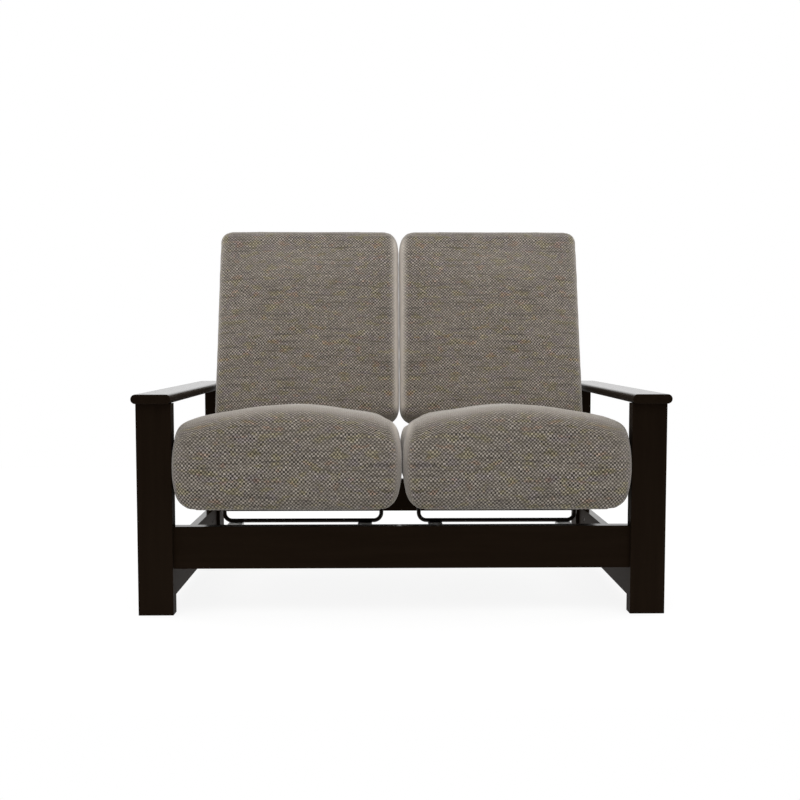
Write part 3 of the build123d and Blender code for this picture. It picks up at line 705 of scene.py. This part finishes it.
def wave_noise(co, scale, seed):
    """Smooth noise from a few sine waves, about -1 to 1."""
    rng = np.random.default_rng(seed)
    total = np.zeros(len(co))
    for _ in range(WAVES):
        direction = rng.normal(size=3)
        direction *= scale * rng.uniform(0.6, 1.5) / np.linalg.norm(direction)
        total += np.sin(co @ direction + rng.uniform(0, 2 * math.pi))
    return total / (WAVES / 2)


def wrinkles(co, across, seed):
    """Height of small wrinkles, which are stronger towards the sides."""
    height = wave_noise(co, 30.0, seed) * WRINKLE + wave_noise(co, 90.0, seed + 1) * FINE_WRINKLE
    to_side = np.clip((np.abs(across) - WRINKLE_SIDE) / WRINKLE_WIDTH, 0, 1)
    least, more = WRINKLE_SHARES
    return height * (least + more * to_side)


def off_surface(mesh, co, normals):
    """Signed distance of each place from the surface of a mesh, outwards positive."""
    faces = [tuple(polygon.vertices) for polygon in mesh.polygons]
    tree = BVHTree.FromPolygons(places_of(mesh).tolist(), faces)
    away = np.empty(len(co))
    for index, place in enumerate(co.tolist()):
        near = tree.find_nearest(place)[0]
        away[index] = (Vector(place) - near).dot(Vector(normals[index]))
    return away


def ease(share):
    """A share from 0 to 1 that starts and ends smoothly."""
    share = np.clip(share, 0, 1)
    return share * share * (3 - 2 * share)


def rise(value, start, length):
    """0 up to the start, 1 past the length and smooth between."""
    return ease((value - start) / length)


def reaches(kind, along):
    """How far the outer and the inner side stand from the middle at each place along."""
    if kind == "seat":
        return np.full(len(along), SEAT_OUTER_REACH), np.full(len(along), INNER_REACH)
    low, high = along.min(), along.max()
    top = rise(along, high - BACK_TOP_LENGTH, BACK_TOP_LENGTH)
    foot = 1 - rise(along, low, BACK_FOOT_LENGTH)
    outer = np.interp(along, (low, high), BACK_OUTER_REACH)
    return outer, INNER_REACH - BACK_TOP_DRAW * top - BACK_FOOT_DRAW * foot


def filled_out(kind, x, along, roll):
    """Places across, stretched so that each side reaches its own width all along."""
    stations = np.linspace(along.min() + 0.9 * roll, along.max() - 0.9 * roll, SIDE_STATIONS)
    half_step = (stations[1] - stations[0]) / 2
    for hand, reach in zip((-1, 1), reaches(kind, along)):
        widths = [
            (hand * x[np.abs(along - station) < half_step]).max() for station in stations]
        factor = reach / np.interp(along, stations, widths)
        x = np.where(hand * x > 0, x * factor, x)
    return x


def level_top_end(x, along, height):
    """How far the back cushion's front draws in, so that its top edge is level."""
    dome = CROWN_LOSS * np.maximum(0, 1 - (x / CROWN_HALF_WIDTH) ** 2)
    near = rise(along, along.max() - CROWN_START, CROWN_LENGTH)
    return dome * near * np.clip(height / BACK_THICKNESS, 0, 1)


def full_seat_top(x, along, height):
    """How far the seat's top stands up over its shoulders and behind its front edge."""
    past = along - along.min()
    shoulder = rise(np.abs(x), *SHOULDER_FROM) * (1 - rise(np.abs(x), *SHOULDER_TO))
    shoulder = shoulder * np.where(x > 0, INNER_SHOULDER_SHARE, 1.0)
    middle = rise(past, *MIDDLE_BEHIND_FRONT) * rise(x, *MIDDLE_FROM) * (1 - rise(x, *MIDDLE_TO))
    low, depth = TOP_BAND
    lift = SHOULDER_LIFT * shoulder + MIDDLE_LIFT * middle
    return lift * (1 - rise(past, *BEFORE_BACK)) * np.clip((height - low) / depth, 0, 1)


def fitted(kind, co, origin, axes, roll):
    """Places moved to the cushion's outline in the photograph."""
    across, along, height = ((co - origin) @ axes.T).T
    x = filled_out(kind, across, along, roll)
    co[:, 0] = origin[0] + x
    if kind == "back":
        return co - level_top_end(x, along, height)[:, None] * axes[2]
    co = co + full_seat_top(x, along, height)[:, None] * axes[2]
    # The front of the seat is plump at its outer side, ahead of the leg
    ahead = 1 - rise(along - along.min(), 0, PLUMP_LENGTH)
    co[:, 0] -= FRONT_PLUMP * ahead * rise(-x, *PLUMP_FROM)
    return co


def painted_sheen_of(kind, facing):
    """How much painted sheen the cloth's colour takes at its edges, from which way it faces: most
    where the two cushions meet.
    """
    across, along, up = facing.T
    outer = ease(-1.4 * across - 0.1)
    if kind == "seat":
        top = rise(up, -0.45, 0.8)
        inner = ease(1.8 * across - 0.7)
        return SEAT_TOP_PAINTED_SHEEN * top * (1 - 0.6 * outer) + SEAT_INNER_PAINTED_SHEEN * inner
    inner = ease(1.4 * across - 0.1)
    ends = np.clip(1.6 * np.abs(along), 0, 1)
    return (BACK_PAINTED_SHEEN + (1 - BACK_PAINTED_SHEEN) * inner) * (1 - 0.9 * ends) * (1 - 0.3 * outer)


def with_seam(mesh, kind, facing):
    """The mesh divided once more, with its painted sheen share noted and its seam pinched between two
    ridges.
    """
    # Signed distance from the seam under the edge, along the surface
    turn = np.arcsin(np.clip(facing[:, 2], -1, 1)) - math.asin(SEAM_TURN)
    add_values(mesh, "seam", turn * SEAM_ROUND)
    add_values(mesh, "painted_sheen_share", painted_sheen_of(kind, facing))
    mesh = with_modifier(mesh, "SUBSURF", levels=1, render_levels=1)
    seam = values_of(mesh, "seam")
    pinch = PINCH * np.exp(-((seam / PINCH_WIDTH) ** 2))
    ridge = RIDGE * np.exp(-(((np.abs(seam) - RIDGE_PLACE) / RIDGE_WIDTH) ** 2))
    move_to(mesh, places_of(mesh) + normals_of(mesh) * (ridge - pinch)[:, None])
    return mesh


def cushion_mesh(kind, swell, roll, side_roll, seed):
    """The left packed cushion, remeshed, softened, blown up as cloth, fitted and given its seam."""
    start, run, up = PANELS[kind]
    solid = nodes[f"left_{kind}_cushion"].data
    mesh = with_modifier(solid.copy(), "REMESH", mode="VOXEL", voxel_size=VOXEL)
    packed = places_of(mesh)
    middle = (packed[:, 0].min() + packed[:, 0].max()) / 2
    axes = np.array([(1.0, 0.0, 0.0), tuple(run), tuple(up)])
    origin = np.array((middle, start.y, start.z)) + SUPPORT * axes[2]
    base = smoothed(mesh, packed, FORM_ROUNDS)
    move_to(mesh, base)
    normals = smoothed(mesh, normals_of(mesh), NORMAL_ROUNDS)
    normals /= np.linalg.norm(normals, axis=1)[:, None]
    facing = normals @ axes.T

    co = base - SHRINK * normals
    move_to(mesh, co)
    co = blown_up(mesh, co, normals, facing, swell)
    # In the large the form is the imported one; what stays is the softening of its edges
    away = smoothed(mesh, off_surface(solid, co, normals), AWAY_ROUNDS)[:, 0]
    co = co - normals * away[:, None]
    across = ((co - origin) @ axes.T)[:, 0]
    co = co + normals * wrinkles(co, across, seed)[:, None]
    move_to(mesh, fitted(kind, co, origin, axes, roll))
    mesh = with_seam(mesh, kind, facing)
    add_cloth_map(mesh, origin, axes, roll, side_roll)
    for polygon in mesh.polygons:
        polygon.use_smooth = True
    return mesh


def crown_height(local, facing, roll):
    """Height of the top at each vertex, from an even polynomial across and a cubic along."""
    def terms(x, along):
        return np.stack([x ** i * along ** j for i in (0, 2, 4) for j in range(4)], 1)

    along = local[:, 1]
    low, high = along.min() + roll, along.max() - roll
    top = (facing[:, 2] > TOP_FACING) & (along > low) & (along < high)
    fit = np.linalg.lstsq(terms(local[top, 0], along[top]), local[top, 2], rcond=None)[0]
    return terms(local[:, 0], np.clip(along, low, high)) @ fit


def round_edge(past, under, roll, dip=0.0):
    """Length of cloth laid from a flat, over a rounded edge and down; the edge takes up a dip."""
    angle = np.arctan2(past, np.maximum(under, 0))
    turned = roll * angle - np.minimum(under, 0) + dip * ease(angle / (math.pi / 2))
    return np.where(past > 0, turned, past)


def add_cloth_map(mesh, origin, axes, roll, side_roll):
    """A map in metres: the cloth runs over the ends and over the sides, with the grain along."""
    local = (places_of(mesh) - origin) @ axes.T
    facing = normals_of(mesh) @ axes.T
    x, along, height = local.T
    top = crown_height(local, facing, roll)
    first, last = along.min() + roll, along.max() - roll
    down_end = height - (top - roll)
    dip = top.max() - top
    over_ends = np.where(along < first, first - round_edge(first - along, down_end, roll, dip), along)
    over_ends = np.where(along > last, last + round_edge(along - last, down_end, roll, dip), over_ends)
    flat = HALF_CUSHION - side_roll
    down_side = height - (top - side_roll)
    over_sides = np.sign(x) * (flat + round_edge(np.abs(x) - flat, down_side, side_roll))
    corners = np.empty(len(mesh.loops), int)
    mesh.loops.foreach_get("vertex_index", corners)
    face_of = np.repeat(np.arange(len(mesh.polygons)), [len(p.vertices) for p in mesh.polygons])
    count = np.bincount(face_of)

    def of_face(values):
        return (np.bincount(face_of, values[corners]) / count)[face_of]

    to_end = np.maximum(of_face(np.abs(facing[:, 1])), SIDE_FACING)
    to_side = of_face(np.abs(facing[:, 0])) > to_end
    below = of_face(facing[:, 2]) < SEAM_TURN
    across = np.where(to_side, over_sides[corners], x[corners])
    length = np.where(to_side, along[corners], over_ends[corners])
    across = np.where(below, x[corners] + UNDER_SHIFT[0], across)
    length = np.where(below, along[corners] + UNDER_SHIFT[1], length)
    layer = mesh.uv_layers.new(name="Cloth")
    layer.data.foreach_set("uv", np.stack([across, length], 1).ravel())


def mirrored(mesh):
    made = mesh.copy()
    co = places_of(made)
    co[:, 0] *= -1
    move_to(made, co)
    made.flip_normals()
    return made


for kind, sizes in CUSHIONS.items():
    left = cushion_mesh(kind, **sizes)
    for side, mesh in (("left", left), ("right", mirrored(left))):
        piece = new_piece(f"{side}_{kind}_cushion_padded", mesh, cloth, f"{side}_seat")
        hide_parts(f"{side}_{kind}_cushion")


# Leaf springs, between the frame and the seat: cut across at even steps along their length
def leaf_mesh(node, low, high):
    mesh = nodes[node].data.copy()
    bm = bmesh.new()
    bm.from_mesh(mesh)
    for cut in range(1, LEAF_CUTS):
        bmesh.ops.bisect_plane(
            bm, geom=bm.verts[:] + bm.edges[:] + bm.faces[:], dist=1e-6,
            plane_co=(0, low + (high - low) * cut / LEAF_CUTS, 0), plane_no=(0, 1, 0))
    bm.to_mesh(mesh)
    bm.free()
    return mesh


for side, _ in SIDES:
    node = f"{side}_leaf_springs"
    low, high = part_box(node)
    piece = new_piece(f"{side}_leaves", leaf_mesh(node, low.y, high.y), leaf_steel)
    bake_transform(piece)
    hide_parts(node)


# Webbing: each strap is a band over both side tubes, hooked under them, and it sags a little
def strap_path():
    """Points across one strap as (across, up), from one hook to the other."""
    radius = TUBE_RADIUS + STRAP_GAP + STRAP_THICKNESS / 2
    half = [
        (HALF_SPACING - STRAP_HOOK + STRAP_HOOK * step / HOOK_STEPS, -radius)
        for step in range(HOOK_STEPS)]
    for step in range(TURN_STEPS + 1):
        angle = math.radians(-90 + 180 * step / TURN_STEPS)
        half.append((HALF_SPACING + radius * math.cos(angle), radius * math.sin(angle)))
    for step in range(1, SPAN_STEPS + 1):
        share = step / SPAN_STEPS
        sag = STRAP_SAG * math.sin(share * math.pi / 2) ** 2
        half.append((HALF_SPACING * (1 - share), radius - sag))
    return half + [(-x, up) for x, up in reversed(half[:-1])]


def strap_section(path, index):
    """Points round the strap at one place of its path, as (across, up, share of half its width)."""
    x, height = path[index]
    before, after = path[max(index - 1, 0)], path[min(index + 1, len(path) - 1)]
    along = Vector((after[0] - before[0], after[1] - before[1])).normalized()
    out = Vector((along.y, -along.x))
    section = []
    for face, places in ((1, STRAP_EDGES), (-1, STRAP_EDGES[::-1])):
        for place in places:
            thick = STRAP_THICKNESS / 2 * (1 if abs(place) < 1 else STRAP_EDGE_SHARE)
            section.append((x + out.x * thick * face, height + out.y * thick * face, place))
    return section


def strap_mesh(name, centre, middles, run, up):
    """All the straps of one seat or back, with a map in metres along and across each."""
    path = strap_path()
    sections = [strap_section(path, index) for index in range(len(path))]
    across = [place * STRAP_WIDTH / 2 for _, _, place in sections[0]]
    size = len(across)
    reach = [0.0]
    for a, b in zip(path, path[1:]):
        reach.append(reach[-1] + math.dist(a, b))
    bm = bmesh.new()
    layer = bm.loops.layers.uv.new("Cloth")
    for number, middle in enumerate(middles):
        shift = number * STRAP_SPACING_ON_MAP
        rings = []
        for section in sections:
            points = [
                centre + Vector((side, 0, 0)) + middle + up * lift + run * (place * STRAP_WIDTH / 2)
                for side, lift, place in section]
            rings.append([bm.verts.new(point) for point in points])
        for index in range(len(rings) - 1):
            for spot in range(size):
                other = (spot + 1) % size
                spots = ((index, spot), (index, other), (index + 1, other), (index + 1, spot))
                face = bm.faces.new([rings[ring][corner] for ring, corner in spots])
                for loop, (ring, corner) in zip(face.loops, spots):
                    loop[layer].uv = (reach[ring] + shift, across[corner])
        for ring, index in ((rings[0][::-1], 0), (rings[-1], -1)):
            for loop in bm.faces.new(ring).loops:
                loop[layer].uv = (reach[index], 0.0)
    return new_mesh(name, bm)


def strap_middles(node, centre, origin, run):
    """The place of each packed strap along the run, read from its node's loose parts."""
    local = (places_of(nodes[node].data) - np.array(centre + origin)) @ np.array(run)
    order = np.sort(local)
    edges = [order[0], *order[1:][np.diff(order) > STRAP_BREAK]]
    return [origin + run * ((low + high) / 2) for low, high in zip(edges[::2], edges[1::2])]


for side, sign in SIDES:
    centre = Vector((sign * SEAT_CENTRE, 0, 0))
    for kind, (origin, run, up) in PANELS.items():
        node = f"{side}_{kind}_straps"
        middles = strap_middles(node, centre, origin, run)
        mesh = strap_mesh(f"{node}_webbing", centre, middles, run, up)
        piece = new_piece(f"{node}_webbing", mesh, webbing, f"{side}_seat")
        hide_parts(node)


# Weld beads: rippled rings where the tubes and the rod meet
def bead_rings(loops):
    """A mesh of closed beads; each loop is a list of points in order."""
    turns = [2 * math.pi * step / BEAD_SIDES for step in range(BEAD_SIDES)]
    bm = bmesh.new()
    for points in loops:
        size = len(points)
        middle = sum(points, Vector()) / size
        rings = []
        for index, point in enumerate(points):
            along = (points[(index + 1) % size] - points[index - 1]).normalized()
            out = point - middle
            out = (out - along * out.dot(along)).normalized()
            side = along.cross(out)
            radius = BEAD * (1 + BEAD_RIPPLE * math.cos(math.pi * index / 2))
            rings.append([
                bm.verts.new(point + radius * (math.cos(turn) * out + math.sin(turn) * side))
                for turn in turns])
        for ring, after in zip(rings, rings[1:] + rings[:1]):
            for spot in range(BEAD_SIDES):
                other = (spot + 1) % BEAD_SIDES
                bm.faces.new((ring[spot], ring[other], after[other], after[spot]))
    return new_mesh("beads", bm)


def bead_loops(centre):
    """The lines where one seat's tubes and rod touch."""
    turns = [2 * math.pi * step / BEAD_STEPS for step in range(BEAD_STEPS)]
    round_once = [(math.cos(turn), math.sin(turn)) for turn in turns]
    loops = []
    for hand in (-1, 1):
        axis = centre + Vector((hand * HALF_SPACING, 0, 0))
        for panel, place in (("seat", FRONT_TUBE), ("seat", REAR_TUBE), ("back", BACK_TUBE)):
            start, run, up = PANELS[panel]
            tube = axis + (start + run * place)
            loops.append([
                tube + TUBE_RADIUS * (run * cosine + up * sine)
                - Vector((hand * (TUBE_RADIUS * abs(cosine) + BEAD / 2), 0, 0))
                for cosine, sine in round_once])
        rod = axis + Vector((0, *ROD_AXIS))
        loops.append([
            rod + Vector((ROD_RADIUS * cosine, 0, 0)) + SEAT_RUN * (ROD_RADIUS * sine)
            - SEAT_UP * math.sqrt(TUBE_RADIUS ** 2 - (ROD_RADIUS * cosine) ** 2)
            for cosine, sine in round_once])
        hoop = axis + CORNER + BACK_RUN * HOOP_START
        loops.append([
            hoop + TUBE_RADIUS * (Vector((cosine, 0, 0)) + BACK_UP * sine)
            for cosine, sine in round_once])
    return loops


for side, sign in SIDES:
    mesh = bead_rings(bead_loops(Vector((sign * SEAT_CENTRE, 0, 0))))
    piece = new_piece(f"{side}_weld_beads", mesh, tube_coat, f"{side}_seat")


# Floor: white where it is seen, with the shadow kept
def floor_material():
    m = Material("floor")
    path = m.node("ShaderNodeLightPath").outputs
    mirrored_or_through = m.math("MAXIMUM", path["Is Glossy Ray"], path["Is Transmission Ray"])
    seen = m.math("MAXIMUM", path["Is Camera Ray"], mirrored_or_through)
    plain = m.node("ShaderNodeBsdfDiffuse", {"Color": (0.8, 0.8, 0.8, 1)})
    glow = m.node("ShaderNodeEmission", {"Color": (1, 1, 1, 1), "Strength": FLOOR_GLOW})
    bright = m.mix_shaders(FLOOR_SHADED_SHARE, glow, plain)
    return m.finish(m.mix_shaders(seen, plain, bright))


floor_mesh = bpy.data.meshes.new("floor")
floor_corners = [
    (-FLOOR_SIDE, FLOOR_FRONT, 0), (FLOOR_SIDE, FLOOR_FRONT, 0),
    (FLOOR_SIDE, FLOOR_BACK, 0), (-FLOOR_SIDE, FLOOR_BACK, 0)]
floor_mesh.from_pydata(floor_corners, [], [(0, 1, 2, 3)])
floor = bpy.data.objects.new("floor", floor_mesh)
scene.collection.objects.link(floor)
floor_mesh.materials.append(floor_material())


# World: white where it is seen and softer as a light; in gloss white behind the object and
# above it, and dim from the front
def studio_world():
    world = NodeTree(bpy.data.worlds.new("studio"), "ShaderNodeOutputWorld")
    path = world.node("ShaderNodeLightPath").outputs
    seen = world.math("MAXIMUM", path["Is Camera Ray"], path["Is Transmission Ray"])
    soft = world.node("ShaderNodeBackground", {"Color": (1.0, 0.99, 0.98, 1), "Strength": 0.62})
    white = world.node("ShaderNodeBackground", {"Color": (1, 1, 1, 1), "Strength": 1.0})
    depth = world.split(world.node("ShaderNodeTexCoord").outputs["Generated"])["Y"]
    gloss = world.node("ShaderNodeBackground", {
        "Color": (1, 1, 1, 1), "Strength": world.remap(depth, -0.55, 0.35, 0.03, 1.0)})
    unseen = world.mix_shaders(path["Is Glossy Ray"], soft, gloss)
    return world.finish(world.mix_shaders(seen, unseen, white))


scene.world = studio_world()


def lamp(name, place, target, size, power, mirrored=False):
    data = bpy.data.lights.new(name, "AREA")
    data.shape = "RECTANGLE"
    data.size, data.size_y = size
    data.energy = power
    light = bpy.data.objects.new(name, data)
    scene.collection.objects.link(light)
    light.location = place
    light.rotation_euler = (Vector(target) - Vector(place)).to_track_quat("-Z", "Y").to_euler()
    light.visible_glossy = mirrored


lamp("overhead", (0.0, -1.4, 3.2), (0.0, -0.1, 0.5), (3.4, 2.6), 32, mirrored=True)
lamp("left", (-2.8, 0.5, 1.7), (0.0, 0.0, 0.6), (1.6, 2.2), 26)
lamp("right", (2.8, 0.5, 1.7), (0.0, 0.0, 0.6), (1.6, 2.2), 26)
